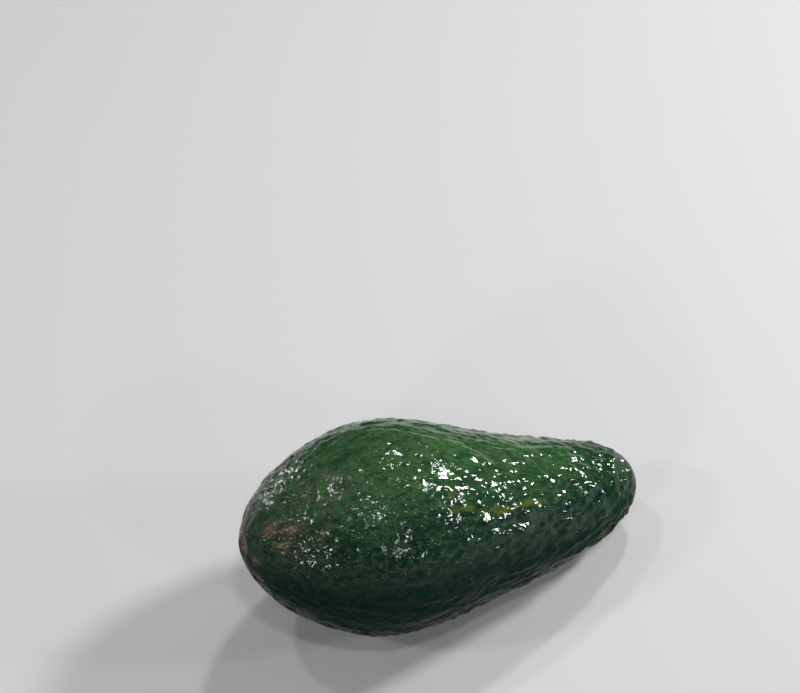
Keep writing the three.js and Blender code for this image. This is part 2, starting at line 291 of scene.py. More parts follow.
def smooth_skin(arc, angle):
    """The smooth skin at arrays of arc length and angle: point, normal, lengthways and across directions."""
    arc, angle = np.broadcast_arrays(np.asarray(arc, float), np.asarray(angle, float))
    along, radius = np.interp(arc, ARC, ALONG), np.interp(arc, ARC, RADIUS)
    da, dr = np.interp(arc, ARC, TANGENT_ALONG), np.interp(arc, ARC, TANGENT_RADIUS)
    size = np.hypot(da, dr)
    da, dr = (da / size)[..., None], (dr / size)[..., None]
    centre, forward, side = core_line(along)
    up = np.array([0.0, 0.0, 1.0])
    cos, sin = np.cos(angle)[..., None], np.sin(angle)[..., None]
    spoke = side * cos + up * sin
    across = up * cos - side * sin
    point = centre + spoke * radius[..., None]
    return point, spoke * da - forward * dr, forward * da + spoke * dr, across


def station(along, values):
    """A value given at the pebble stations, eased between them."""
    along = np.asarray(along, float)
    result = np.full(along.shape, float(values[-1]))
    for i in reversed(range(len(PEBBLE_ALONG) - 1)):
        start, end = PEBBLE_ALONG[i], PEBBLE_ALONG[i + 1]
        eased = values[i] + (values[i + 1] - values[i]) * smooth_step(start, end, along)
        result = np.where(along <= end, eased, result)
    return result


def droop(points):
    """Turns points of the fruit's own frame into the pose at rest, before it is set down."""
    cos, sin = math.cos(REST_PITCH), math.sin(REST_PITCH)
    x, y, z = points[..., 0], points[..., 1], points[..., 2]
    return np.stack([x * cos + z * sin, y, z * cos - x * sin], -1)


def lowest_of_smooth_skin():
    points = droop(smooth_skin(ARC, -math.pi / 2)[0])
    return points[np.argmin(points[:, 2])]


CONTACT = lowest_of_smooth_skin()


def set_down(points):
    """The pose at rest, with the lowest skin pressed flat."""
    placed = droop(points) - CONTACT
    placed[..., 2] = np.maximum(0, placed[..., 2] - FLAT_DEPTH)
    return placed


def ring_arc(radius, in_dimple):
    """Arc length at which the profile has this radius, in the dimple or on the shoulder."""
    i = RIM_ROW if in_dimple else NECK_ROW
    while RADIUS[i + 1] > radius:
        i += 1
    share = (RADIUS[i] - radius) / (RADIUS[i] - RADIUS[i + 1])
    return ARC[i] + (ARC[i + 1] - ARC[i]) * share


def ring_seeds():
    """Pebble centres of no height in the smooth rings, and one in the middle of the dimple."""
    rows = []
    rings = [(ring, False) for ring in SHOULDER_RINGS] + [(ring, True) for ring in DIMPLE_RINGS]
    for number, ((radius, count), in_dimple) in enumerate(rings):
        arc = ring_arc(radius, in_dimple)
        for i in range(count):
            rows.append((arc, (i + (number % 2) / 2) / count * TURN, True, 0.0))
    rows.append((ARC[-1], 0.0, True, 0.0))
    return rows


def relax(arc, angle, fixed, last_arc):
    """One round in which each free pebble moves away from the neighbours that are too close."""
    along = np.interp(arc, ARC, ALONG)
    point, _, lengthways, across = smooth_skin(arc, angle)
    reach = RELAX_REACH * station(along, PEBBLE_PITCH)
    away = point[:, None] - point[None]
    apart = np.sqrt((away**2).sum(-1))
    pair_reach = np.minimum(reach[:, None], reach[None])
    close = (apart <= pair_reach) & (apart > 0)
    safe = np.where(close, apart, 1)
    push = np.where(close, RELAX_STRENGTH * (pair_reach - apart) / safe, 0)
    move = (push[..., None] * away).sum(1)
    free = ~fixed
    radius = np.interp(arc, ARC, RADIUS)
    arc = arc.copy()
    angle = angle.copy()
    arc[free] = np.clip((arc + (move * lengthways).sum(-1))[free], LEAST_ARC, last_arc)
    angle[free] += ((move * across).sum(-1))[free] / radius[free]
    return arc, angle


def pebbles():
    """Arc, angle and height share of each pebble's centre, as in the CAD part."""
    draw = random_numbers(RANDOM_SEED)
    rings = ring_seeds()
    last_arc = rings[0][0] - PEBBLE_PITCH[-1]
    rows = [(0.0, 0.0, True, POLE_PEBBLE_SHARE)]
    pitches = station(ALONG, PEBBLE_PITCH)
    count, due = 0.0, FIRST_SPIRAL_PEBBLE
    for i in range(1, len(ARC)):
        if ARC[i] >= last_arc:
            break
        pitch = float(pitches[i])
        cell = math.sqrt(3) / 2 * pitch * pitch
        count += TURN * RADIUS[i] * (ARC[i] - ARC[i - 1]) / cell
        while count > due:
            jitter = SEED_JITTER * pitch
            arc = ARC[i] + jitter * (2 * next(draw) - 1)
            angle = due * GOLDEN_ANGLE + jitter * (2 * next(draw) - 1) / RADIUS[i]
            share = HEIGHT_LEAST_SHARE + (1 - HEIGHT_LEAST_SHARE) * next(draw)
            rows.append((min(last_arc, max(pitch / 2, arc)), angle, False, share))
            due += 1
    rows += rings
    arc, angle, fixed, share = (np.array(column) for column in zip(*rows))
    for _ in range(RELAX_ROUNDS):
        arc, angle = relax(arc, angle, fixed, last_arc)
    return arc, angle, share


def broad_relief(arc, angle):
    """Lumps, shallow ribs on the neck and the scar at the blossom end, in millimetres outwards."""
    along = np.interp(arc, ARC, ALONG)
    lumps = np.zeros_like(along)
    for wave in LUMP_WAVES:
        sway = wave["sway"] * np.sin(angle + wave["sway_start"])
        lengthways = np.sin(along / wave["length"] + wave["start"] + sway)
        lumps += wave["share"] * lengthways * np.cos(wave["turns"] * angle + wave["turn_start"])
    lump_window = smooth_step(*LUMPS_FADE_IN, arc) * (1 - smooth_step(*LUMPS_FADE_OUT, along))
    ribs = np.zeros_like(along)
    for wave in RIB_WAVES:
        ribs += wave["share"] * np.cos(wave["turns"] * angle + wave["start"] + wave["twist"] * along)
    rib_window = smooth_step(RIB_FROM, RIB_FULL, along) * (1 - smooth_step(RIB_FULL, RIB_TO, along))
    scar = SCAR_DEPTH * np.exp(-((arc / SCAR_RADIUS) ** 2))
    lip = SCAR_LIP_HEIGHT * np.exp(-(((arc - SCAR_LIP_RADIUS) / SCAR_LIP_WIDTH) ** 2))
    return LUMP_HEIGHT * lumps * lump_window + RIB_HEIGHT * ribs * rib_window - scar + lip


def dome_heights(point, lengthways, across):
    """For each place, how high the pebble there stands: 0 in a valley, up to 1 on the top of a tall one."""
    seed_arc, seed_angle, seed_share = pebbles()
    seed_along = np.interp(seed_arc, ARC, ALONG)
    seed_point = smooth_skin(seed_arc, seed_angle)[0]
    seed_pitch = station(seed_along, PEBBLE_PITCH)
    draw = np.random.RandomState(DOME_SEED)
    shift = DOME_SHIFT_SHARE * seed_pitch[:, None] * draw.uniform(-1, 1, (len(seed_arc), 3))
    seed_point = seed_point + shift * (seed_share > 0)[:, None]
    size = np.where(seed_share > 0, draw.uniform(DOME_LEAST_SIZE, 1, len(seed_arc)), 0)
    stretch = 1 + (DOME_STRETCH - 1) * smooth_step(*DOME_STRETCH_ALONG, seed_along)
    reach = DOME_RADIUS_SHARE * seed_pitch * (1 + size) / 2
    tree = KDTree(len(seed_point))
    for i, place in enumerate(seed_point):
        tree.insert(place, i)
    tree.balance()
    dome = np.zeros(len(point))
    for i, place in enumerate(point):
        for _, seed, _ in tree.find_n(place, NEIGHBOURS):
            away = place - seed_point[seed]
            along_part = float(away @ lengthways[i]) / stretch[seed]
            across_part = float(away @ across[i])
            near = 1 - (along_part**2 + across_part**2) / reach[seed] ** 2
            if near > 0:
                dome[i] = max(dome[i], size[seed] * near * near)
    return dome


def lengthways_noise(arc, radius, cos, sin, length, width):
    """Smooth noise round the fruit, with bumps that are longer along the fruit than they are wide."""
    return np.array([
        noise.noise(Vector((a / length, r * c / width, r * s / width)))
        for a, r, c, s in zip(arc, radius, cos, sin)
    ])


def fine_relief(arc, angle, dome):
    """Domes, waves, ripples, ridges and wrinkles together, in millimetres outwards."""
    along = np.interp(arc, ARC, ALONG)
    radius = np.interp(arc, ARC, RADIUS)
    window = smooth_step(*RELIEF_FADE_IN, arc) * (1 - smooth_step(*RELIEF_FADE_OUT, along))
    wrinkle_window = smooth_step(*WRINKLE_FADE_IN, arc) * (1 - smooth_step(*WRINKLE_FADE_OUT, arc))
    cos, sin = np.cos(angle), np.sin(angle)
    waves = lengthways_noise(arc, radius, cos, sin, WAVE_ALONG, WAVE_ACROSS)
    ripples = lengthways_noise(arc, radius, cos, sin, RIPPLE_ALONG, RIPPLE_ACROSS)
    ridges = lengthways_noise(arc + RIDGE_ALONG, radius, cos, sin, RIDGE_ALONG, RIDGE_ACROSS)
    ridge_window = smooth_step(*RIDGE_FADE_IN, along) * window
    turns = WRINKLE_COUNT / 2
    wrinkles = np.array([
        noise.noise(Vector((a / WRINKLE_LENGTH, turns * c + WRINKLE_DRAW, turns * s)))
        for a, c, s in zip(arc, cos, sin)
    ])
    pebbled = station(along, DOME_HEIGHT) * (dome - DOME_SINK_SHARE)
    waved = (station(along, WAVE_HEIGHT) * waves + station(along, RIPPLE_HEIGHT) * ripples) * window
    ridged = RIDGE_HEIGHT * ridges * ridge_window
    return pebbled + waved + ridged + WRINKLE_HEIGHT * wrinkles * wrinkle_window


def ring_layout():
    """Arc length, first vertex and number of vertices of each ring of the fine skin, poles included."""
    steps = int(ARC[-1] / FINE_STEP)
    arcs = np.linspace(0, ARC[-1], steps + 1)
    around = TURN * np.interp(arcs, ARC, RADIUS)
    counts = np.maximum(LEAST_IN_RING, np.round(around / FINE_STEP)).astype(int)
    counts[0] = counts[-1] = 1
    firsts = np.concatenate([[0], np.cumsum(counts)[:-1]])
    return arcs, firsts, counts


def stitch(firsts, counts):
    """Triangles between neighbouring rings, walking round both and always taking the shorter step."""
    past_the_end = 2.0
    triangles = []
    for k in range(len(counts) - 1):
        a, b = int(firsts[k]), int(firsts[k + 1])
        na, nb = int(counts[k]), int(counts[k + 1])
        i = j = 0
        while i < na or j < nb:
            step_a = (i + 1) / na if na > 1 else past_the_end
            step_b = (j + 1) / nb if nb > 1 else past_the_end
            if (step_a <= step_b and i < na and na > 1) or j >= nb or nb == 1:
                if i >= na or na == 1:
                    break
                triangles.append((a + i % na, b + j % nb, a + (i + 1) % na))
                i += 1
            else:
                triangles.append((a + i % na, b + j % nb, b + (j + 1) % nb))
                j += 1
    return triangles


def add_mesh(name, points, triangles, attributes):
    """A smooth-shaded mesh object from points in millimetres, with named numbers at each vertex."""
    mesh = bpy.data.meshes.new(name)
    mesh.from_pydata((points * MM).tolist(), [], triangles)
    mesh.update()
    for key, values in attributes.items():
        values = np.asarray(values, np.float32)
        if values.ndim == 1:
            mesh.attributes.new(key, "FLOAT", "POINT").data.foreach_set("value", values)
        else:
            mesh.attributes.new(key, "FLOAT_VECTOR", "POINT").data.foreach_set("vector", values.ravel())
    mesh.polygons.foreach_set("use_smooth", [True] * len(mesh.polygons))
    piece = bpy.data.objects.new(name, mesh)
    bpy.context.scene.collection.objects.link(piece)
    return piece


def patch(point, centre, size, stretch_along=1.0):
    """1 at a place of the skin, falling to 0 at its reach, which may be longer along the fruit."""
    centre_point, _, lengthways, across = smooth_skin(*centre)
    away = point - centre_point
    along_part = (away @ lengthways) / stretch_along
    across_part = away @ across
    depth_part = away @ np.cross(lengthways, across)
    return np.clip(1 - np.sqrt(along_part**2 + across_part**2 + depth_part**2) / size, 0, 1)


def arc_at(along):
    """Arc length at a distance along the fruit, outside the dimple."""
    return float(np.interp(along, ALONG[:RIM_ROW], ARC[:RIM_ROW]))


# Marks on the skin: place as (along, angle in degrees), reach in millimetres, and how much longer than wide.
RUSSET_SCARS = (
    ((4.6, 116), 4.8, 1.5),
    ((9.0, 122), 3.4, 2.0),
    ((6.6, 138), 3.2, 2.2),
    ((1.5, 180), 4.0, 1.0),
    ((3.0, 215), 4.5, 1.2),
    ((62.0, 250), 5.0, 1.6),
    ((28.0, 310), 6.0, 1.4),
)
PURPLE_TINTS = (
    ((17.3, 103), 11.0, 1.5),
    ((8.0, 125), 14.0, 1.2),
    ((53.5, 121), 2.6, 1.5),
    ((3.5, 65), 9.0, 1.0),
)
YELLOW_STREAKS = (
    ((56.0, 129), 1.5, 5.0),
    ((68.0, 132), 2.0, 4.5),
    ((80.0, 130), 1.8, 4.5),
    ((88.0, 265), 4.0, 3.5),
)

# How far up the skin faces, as the height of its unit normal: where the painted shade and the painted light
# set in.
SHADED_FROM, SHADED_FULL = 0.75, -0.15
SUNLIT_FROM, SUNLIT_FULL = 0.55, 1.0

# The dimple's brown starts this far outside its rim.
DIMPLE_BROWN_BAND = 2.5

# Units of the "wrap" attribute: millimetres of arc per unit, and units of the circle's radius.
WRAP_LENGTH = 10
WRAP_RADIUS = 3


def strongest(point, marks):
    """The strongest of the marks at each place, from 0 to 1."""
    total = np.zeros(len(point))
    for (along, degrees), size, stretch in marks:
        centre = (arc_at(along), math.radians(degrees))
        total = np.maximum(total, patch(point, centre, size, stretch))
    return total


def fruit_skin():
    """The fine skin in the pose at rest, with the numbers that its material reads at each vertex."""
    arcs, firsts, counts = ring_layout()
    arc = np.repeat(arcs, counts)
    half_steps = [k % 2 / 2 for k in range(len(counts))]
    angle = np.concatenate([(np.arange(n) + half) / n * TURN for n, half in zip(counts, half_steps)])
    point, normal, lengthways, across = smooth_skin(arc, angle)
    dome = dome_heights(point, lengthways, across)
    away = np.linalg.norm(droop(point) - CONTACT, axis=-1)
    calm = smooth_step(CALM_INNER, CALM_OUTER, away)
    relief = broad_relief(arc, angle) * calm + fine_relief(arc, angle, dome)
    placed = set_down(point + normal * relief[:, None])
    facing_up = droop(normal)[..., 2]
    rim_arc = ARC[RIM_ROW]
    wrap = [arc / WRAP_LENGTH, WRAP_RADIUS * np.cos(angle), WRAP_RADIUS * np.sin(angle)]
    attributes = {
        "dome": dome,
        "along": np.interp(arc, ARC, ALONG) / LENGTH,
        "arc": arc / ARC[-1],
        "dimple": smooth_step(rim_arc - DIMPLE_BROWN_BAND, rim_arc, arc),
        # How far the skin faces down: it carries the painted shade, and also less gloss and fewer pale specks
        # there.
        "underside": smooth_step(SHADED_FROM, SHADED_FULL, facing_up),
        # How far the skin faces up: it carries the painted light on the top.
        "painted_top_light": smooth_step(SUNLIT_FROM, SUNLIT_FULL, facing_up),
        "russet": strongest(point, RUSSET_SCARS),
        "purple": strongest(point, PURPLE_TINTS),
        "yellow": strongest(point, YELLOW_STREAKS),
        "wrap": np.stack(wrap, -1),
        "body": point * MM,
    }
    triangles = stitch(firsts, counts)
    return add_mesh("skin", placed, triangles, attributes)


def stub_grain(angle, height):
    """How far the grain stands out of the stub's side at one place, in millimetres."""
    total = 0.0
    for size, turns, rise in STUB_GRAIN:
        place = (turns * math.cos(angle), turns * math.sin(angle), height * rise)
        total += size * noise.noise(Vector(place))
    return total


def stalk_stub():
    """The finer stub: the same profile with rounded steps between its rings, and grain in its surface."""
    keys = np.array(STUB_PROFILE + ((STUB_TOP_CENTRE, 0.0),), float)
    spots = np.linspace(0, len(keys) - 1, (len(keys) - 1) * STUB_RINGS_BETWEEN + 1)
    heights = np.interp(spots, range(len(keys)), keys[:, 0])
    radii = np.interp(spots, range(len(keys)), keys[:, 1])
    soft = np.ones(STUB_SMOOTHING) / STUB_SMOOTHING
    heights[1:-1] = np.convolve(heights, soft, "valid")
    radii[1:-1] = np.convolve(radii, soft, "valid")
    centre, forward, side = core_line(LENGTH - DIMPLE_DEPTH)
    up = np.array([0.0, 0.0, 1.0])
    points = [centre + forward * STUB_GAP]
    rows = []
    for height, radius in zip(heights[:-1], radii[:-1]):
        row = []
        for i in range(STUB_SIDES):
            angle = i / STUB_SIDES * TURN
            lobed = radius * (1 + STUB_LOBE_SHARE * math.cos(STUB_LOBES * angle + height))
            lobed += stub_grain(angle, height)
            spoke = side * math.cos(angle) + up * math.sin(angle)
            row.append(len(points))
            points.append(centre + forward * (height + STUB_GAP) + spoke * lobed)
        rows.append(row)
    points.append(centre + forward * (STUB_TOP_CENTRE + STUB_GAP))
    triangles = []
    for i in range(STUB_SIDES):
        j = (i + 1) % STUB_SIDES
        triangles.append((0, rows[0][j], rows[0][i]))
        for lower, upper in zip(rows[:-1], rows[1:]):
            triangles.append((lower[i], lower[j], upper[j]))
            triangles.append((lower[i], upper[j], upper[i]))
        triangles.append((len(points) - 1, rows[-1][i], rows[-1][j]))
    placed = droop(np.array(points)) - CONTACT - np.array([0, 0, FLAT_DEPTH])
    heights_all = np.concatenate([[0], np.repeat(heights[:-1], STUB_SIDES), [STUB_TOP_CENTRE]])
    return add_mesh("stalk_stub", placed, triangles, {"height": heights_all / STUB_TOP_CENTRE})


def linear(red, green, blue):
    """A colour given in screen values from 0 to 255, as the linear colour that the shader takes."""
    screen = [value / 255 for value in (red, green, blue)]
    return tuple(c / 12.92 if c <= 0.04045 else ((c + 0.055) / 1.055) ** 2.4 for c in screen) + (1,)


class Shader:
    """A few short helpers for writing a node material in code."""

    def __init__(self, name):
        self.material = bpy.data.materials.new(name)
        self.material.use_nodes = True
        self.tree = self.material.node_tree
        self.surface = self.tree.nodes["Principled BSDF"]

    def add(self, kind, inputs=(), **settings):
        node = self.tree.nodes.new(kind)
        for key, value in settings.items():
            setattr(node, key, value)
        for key, value in dict(inputs).items():
            self.put(value, node.inputs[key])
        return node

    def put(self, value, socket):
        if isinstance(value, bpy.types.NodeSocket):
            self.tree.links.new(value, socket)
        else:
            socket.default_value = value

    def attribute(self, name, output="Fac"):
        return self.add("ShaderNodeAttribute", attribute_name=name).outputs[output]

    def times(self, a, b):
        return self.math("MULTIPLY", a, b)

    def math(self, operation, a, b):
        node = self.add("ShaderNodeMath", operation=operation)
        for value, socket in zip((a, b), node.inputs):
            self.put(value, socket)
        return node.outputs[0]

    def ramp(self, value, low, high, start=0.0, end=1.0):
        """Goes smoothly from start to end while the value goes from low to high."""
        inputs = {"Value": value, "From Min": low, "From Max": high, "To Min": start, "To Max": end}
        return self.add("ShaderNodeMapRange", inputs, interpolation_type="SMOOTHSTEP").outputs["Result"]

    def stretch(self, place, along, across):
        """A place counted in waves along the fruit and across it."""
        inputs = {0: place, 1: (along, across, across)}
        return self.add("ShaderNodeVectorMath", inputs, operation="MULTIPLY").outputs[0]

    def noise(self, place, detail, rough):
        inputs = {"Vector": place, "Scale": 1.0, "Detail": detail, "Roughness": rough}
        return self.add("ShaderNodeTexNoise", inputs).outputs["Fac"]

    def cells(self, place, output="Distance"):
        return self.add("ShaderNodeTexVoronoi", {"Vector": place, "Scale": 1.0}).outputs[output]

    def mix(self, share, first, second):
        node = self.add("ShaderNodeMix", data_type="RGBA")
        for value, name in ((share, "Factor_Float"), (first, "A_Color"), (second, "B_Color")):
            socket = next(s for s in node.inputs if s.identifier == name)
            self.put(value, socket)
        return next(s for s in node.outputs if s.identifier == "Result_Color")

    def bump(self, height, distance, below=None):
        inputs = {"Height": height, "Distance": distance}
        if below is not None:
            inputs["Normal"] = below
        return self.add("ShaderNodeBump", inputs).outputs["Normal"]


# Colours of the skin.
GREEN_DEEP = linear(6, 27, 23)
GREEN_MIDDLE = linear(21, 44, 31)
GREEN_LIGHT = linear(54, 82, 50)
# Painted shade: a darker green laid on the skin that faces down.
GREEN_PAINTED_SHADE = linear(1, 23, 20)
# Painted light: a lighter green laid on the skin that faces up.
GREEN_PAINTED_TOP_LIGHT = linear(56, 90, 44)
GREEN_NECK = linear(3, 34, 13)
GREEN_STEM = linear(44, 68, 38)
LENTICEL = linear(88, 108, 56)
SPECK = linear(122, 142, 120)
YELLOW_GREEN = linear(74, 88, 28)
PURPLE_BROWN = linear(68, 56, 50)
RUSSET_DARK = linear(62, 54, 42)
RUSSET_LIGHT = linear(120, 100, 78)

# Numbers and places that the skin's mesh carries.
SKIN_NUMBERS = ("dome", "along", "arc", "dimple", "underside", "painted_top_light", "russet", "purple", "yellow")
SKIN_PLACES = ("body", "wrap")

# Noises of the skin: the place that each is laid on, its waves along and across the fruit per unit of that
# place, detail and roughness. The unit of "body" is a metre.
SKIN_NOISES = {
    "drift": ("body", 55, 55, 3, 0.55),
    "fleck": ("body", 420, 700, 3, 0.6),
    "grit": ("body", 700, 1300, 2, 0.5),
    "mottle": ("body", 200, 420, 2, 0.5),
    "streaks": ("wrap", 0.7, 6.0, 3, 0.6),
    "yellow_grain": ("body", 260, 260, 3, 0.5),
    "purple_grain": ("body", 420, 420, 4, 0.65),
    "dot_pick": ("body", 300, 300, 1, 0.5),
    "ragged": ("wrap", 2.2, 11.0, 5, 0.7),
    "flaky": ("body", 900, 900, 4, 0.7),
    "scar_grain": ("body", 1500, 1500, 3, 0.6),
    "pores": ("body", 750, 1150, 1, 0.4),
    "creases": ("wrap", 2.5, 16.0, 3, 0.55),
    "wax": ("body", 130, 130, 3, 0.5),
}
DOT_CELLS = (420, 420)
SPECK_CELLS = (900, 1500)

# Ramps: the two values between which a mask goes from 0 to 1, or else between the two results that follow.
YELLOW_BREAK = (0.3, 0.7, 0.5, 1.6)
PURPLE_BREAK = (0.4, 0.68)
DOT_EDGE = (0.16, 0.05)
DOT_PICK = (0.5, 0.58)
BLOSSOM_HALF = (0.5, 0.26, 0.08, 1.0)
SPECK_EDGE = (0.42, 0.0)
SPECK_PICK = (0.25, 0.37)
SPECK_DRIFT = (0.3, 0.6, 0.5, 1.0)
SPECK_COLOUR_SHARE = (0.3, 0.75, 0.18, 0.0)
SCAR_EDGE = (0.54, 0.86)
SCAR_FLAKES = (0.3, 0.5)
SCAR_REACH = (0.0, 0.12)
TIP_REACH = (0.02, 0.008)
DIMPLE_FLAKES = (0.35, 0.6)
SCAR_PALE_PARTS = (0.4, 0.62)

# How ragged a scar's edge is, round the noise's middle, and how strong the scar at the tip is.
SCAR_RAGGEDNESS = 2.6
NOISE_MIDDLE = 0.5
TIP_STRENGTH = 0.85

# Layers of colour over the deep green, from the lowest up: mask, ramp of the mask (none where it is used as
# it is), share at full strength, and colour.
SKIN_LAYERS = (
    ("drift", (0.36, 0.66), 1.0, GREEN_MIDDLE),
    # Painted light: the skin that faces up is lightened towards this green.
    ("painted_top_light", None, 0.55, GREEN_PAINTED_TOP_LIGHT),
    ("fleck", (0.42, 0.68), 0.6, GREEN_LIGHT),
    ("grit", (0.5, 0.35), 0.45, GREEN_DEEP),
    ("mottle", (0.52, 0.38), 0.48, GREEN_DEEP),
    ("streaks", (0.5, 0.72), 0.25, GREEN_LIGHT),
    # Painted shade: the skin that faces down is darkened towards this green.
    ("underside", None, 0.85, GREEN_PAINTED_SHADE),
    ("along", (0.7, 0.92), 0.8, GREEN_NECK),
    ("along", (0.955, 1.0), 0.5, GREEN_STEM),
    ("yellow_patches", (0.1, 0.9), 0.55, YELLOW_GREEN),
    ("purple_patches", (0.03, 0.5), 0.55, PURPLE_BROWN),
    ("lenticels", None, 0.5, LENTICEL),
    ("dome", (0.25, 0.8), 0.22, GREEN_DEEP),
    ("blossom_half", None, 0.22, GREEN_DEEP),
    ("coloured_specks", None, 1.0, SPECK),
)

# Fine relief in the shading alone, in metres, and where it fades along the fruit.
CREASE_DEPTH = 0.00007
SPECK_DEPTH = 0.00011
PORE_DEPTH = 0.00005
SCAR_FLAKE_DEPTH = 0.00025
CREASES_ALONG = (0.5, 0.26, 0.5, 1.0)
PORES_ALONG = (0.9, 0.985, 1.0, 0.35)

# The wax on the skin. Its gloss is weaker on the underside and at the neck's end.
WAX_ROUGHNESS = (0.35, 0.7, 0.04, 0.09)
SCAR_ROUGHNESS = 0.35
WAX_IOR = 1.29
GLOSS_UNDERSIDE = (0.2, 0.8, 0.5, 0.08)
GLOSS_ALONG = (0.7, 0.92, 1.0, 0.4)


def skin_masks(s):
    """The masks of the skin by name: the mesh's own numbers, the noises, and the marks made from both."""
    masks = {name: s.attribute(name) for name in SKIN_NUMBERS}
    places = {name: s.attribute(name, "Vector") for name in SKIN_PLACES}
    for name, (place, along, across, detail, rough) in SKIN_NOISES.items():
        masks[name] = s.noise(s.stretch(places[place], along, across), detail, rough)
    add_patches(s, masks)
    add_lenticels(s, masks, s.cells(s.stretch(places["body"], *DOT_CELLS)))
    add_specks(s, masks, s.stretch(places["body"], *SPECK_CELLS))
    add_scars(s, masks)
    return masks


def add_patches(s, masks):
    """Yellow and purple patches, broken up by their own grain."""
    masks["yellow_patches"] = s.times(masks["yellow"], s.ramp(masks["yellow_grain"], *YELLOW_BREAK))
    masks["purple_patches"] = s.times(masks["purple"], s.ramp(masks["purple_grain"], *PURPLE_BREAK))


def add_lenticels(s, masks, cells):
    """Pale round dots in some of the cells."""
    masks["lenticels"] = s.times(s.ramp(cells, *DOT_EDGE), s.ramp(masks["dot_pick"], *DOT_PICK))


def add_specks(s, masks, place):
    """Fine raised specks, mostly on the blossom end's half, with less of their colour on the underside."""
    masks["blossom_half"] = s.ramp(masks["along"], *BLOSSOM_HALF)
    speck = s.times(s.ramp(s.cells(place), *SPECK_EDGE), s.ramp(s.cells(place, "Color"), *SPECK_PICK))
    where = s.times(masks["blossom_half"], s.ramp(masks["drift"], *SPECK_DRIFT))
    masks["specks"] = s.times(speck, where)
    masks["coloured_specks"] = s.times(masks["specks"], s.ramp(masks["underside"], *SPECK_COLOUR_SHARE))


def add_scars(s, masks):
    """Ragged brown scars where the mesh marks them, round the tip of the blossom end and in the dimple."""
    ragged = s.times(s.math("SUBTRACT", masks["ragged"], NOISE_MIDDLE), SCAR_RAGGEDNESS)
    scar = s.ramp(s.math("ADD", masks["russet"], ragged), *SCAR_EDGE)
    scar = s.times(scar, s.ramp(masks["flaky"], *SCAR_FLAKES))
    scar = s.times(scar, s.ramp(masks["russet"], *SCAR_REACH))
    tip = s.times(s.ramp(masks["arc"], *TIP_REACH), TIP_STRENGTH)
    dimple = s.times(masks["dimple"], s.ramp(masks["flaky"], *DIMPLE_FLAKES))
    masks["scar"] = s.math("MAXIMUM", s.math("MAXIMUM", scar, tip), dimple)


def skin_colour(s, masks):
    colour = GREEN_DEEP
    for name, edges, share, over in SKIN_LAYERS:
        mask = s.ramp(masks[name], *edges) if edges else masks[name]
        colour = s.mix(s.times(mask, share), colour, over)
    scar_colour = s.mix(s.ramp(masks["scar_grain"], *SCAR_PALE_PARTS), RUSSET_DARK, RUSSET_LIGHT)
    return s.mix(masks["scar"], colour, scar_colour)


def skin_bumps(s, masks):
    creases = s.times(masks["creases"], s.ramp(masks["along"], *CREASES_ALONG))
    pores = s.times(masks["pores"], s.ramp(masks["along"], *PORES_ALONG))
    normal = s.bump(creases, CREASE_DEPTH)
    normal = s.bump(masks["specks"], SPECK_DEPTH, below=normal)
    normal = s.bump(pores, PORE_DEPTH, below=normal)
    return s.bump(s.times(masks["flaky"], masks["scar"]), SCAR_FLAKE_DEPTH, below=normal)


def skin_material():
    """Waxy green skin: drifting greens, pale dots, patches and scars, and fine bumps under a clear gloss."""
    s = Shader("avocado_skin")
    masks = skin_masks(s)
    rough = s.math("ADD", s.ramp(masks["wax"], *WAX_ROUGHNESS), s.times(masks["scar"], SCAR_ROUGHNESS))
    gloss = s.times(s.ramp(masks["underside"], *GLOSS_UNDERSIDE), s.ramp(masks["along"], *GLOSS_ALONG))
    s.put(skin_colour(s, masks), s.surface.inputs["Base Color"])
    s.put(skin_bumps(s, masks), s.surface.inputs["Normal"])
    s.put(rough, s.surface.inputs["Roughness"])
    s.put(gloss, s.surface.inputs["Specular IOR Level"])
    s.surface.inputs["IOR"].default_value = WAX_IOR
    return s.material


# Colours of the stub: its bark, and where it broke off.
WOOD_DARK = linear(62, 44, 28)
WOOD_LIGHT = linear(150, 122, 84)
WOOD_BREAK = linear(176, 152, 112)

# Noises of the wood: waves per metre, detail and roughness. The colour of the break sets in at the height of
# the middle of the stub's top.
WOOD_GRAIN = (1400, 5, 0.65)
WOOD_BLOTCHES = (500, 2, 0.5)
WOOD_PALE_PARTS = (0.35, 0.68)
WOOD_BLOTCH_EDGE = (0.5, 0.7)
WOOD_BLOTCH_SHARE = 0.5
BREAK_HEIGHT = (1.0, 1.1)
BREAK_SHARE = 0.6
WOOD_CRACK_DEPTH = 0.0003
WOOD_ROUGHNESS = 0.8


def stub_material():
    """Dry woody stalk: brown bark with fine cracks, paler where it broke off."""
    s = Shader("stalk_wood")
    place = s.add("ShaderNodeTexCoord").outputs["Object"]
    grain, blotches = (
        s.noise(s.stretch(place, waves, waves), detail, rough)
        for waves, detail, rough in (WOOD_GRAIN, WOOD_BLOTCHES)
    )
    colour = s.mix(s.ramp(grain, *WOOD_PALE_PARTS), WOOD_DARK, WOOD_LIGHT)
    colour = s.mix(s.times(s.ramp(blotches, *WOOD_BLOTCH_EDGE), WOOD_BLOTCH_SHARE), colour, WOOD_DARK)
    top = s.ramp(s.attribute("height"), *BREAK_HEIGHT)
    colour = s.mix(s.times(top, BREAK_SHARE), colour, WOOD_BREAK)
    s.put(colour, s.surface.inputs["Base Color"])
    s.put(s.bump(grain, WOOD_CRACK_DEPTH), s.surface.inputs["Normal"])
    s.surface.inputs["Roughness"].default_value = WOOD_ROUGHNESS
    return s.material


# The floor, with half its side in metres.
FLOOR_GREY = (0.38, 0.38, 0.38, 1)
FLOOR_ROUGHNESS = 0.9
FLOOR_GLOSS = 0.1
FLOOR_HALF = 3.0


def floor_material():
    s = Shader("floor_paper")
    s.surface.inputs["Base Color"].default_value = FLOOR_GREY
    s.surface.inputs["Roughness"].default_value = FLOOR_ROUGHNESS
    s.surface.inputs["Specular IOR Level"].default_value = FLOOR_GLOSS
    return s.material


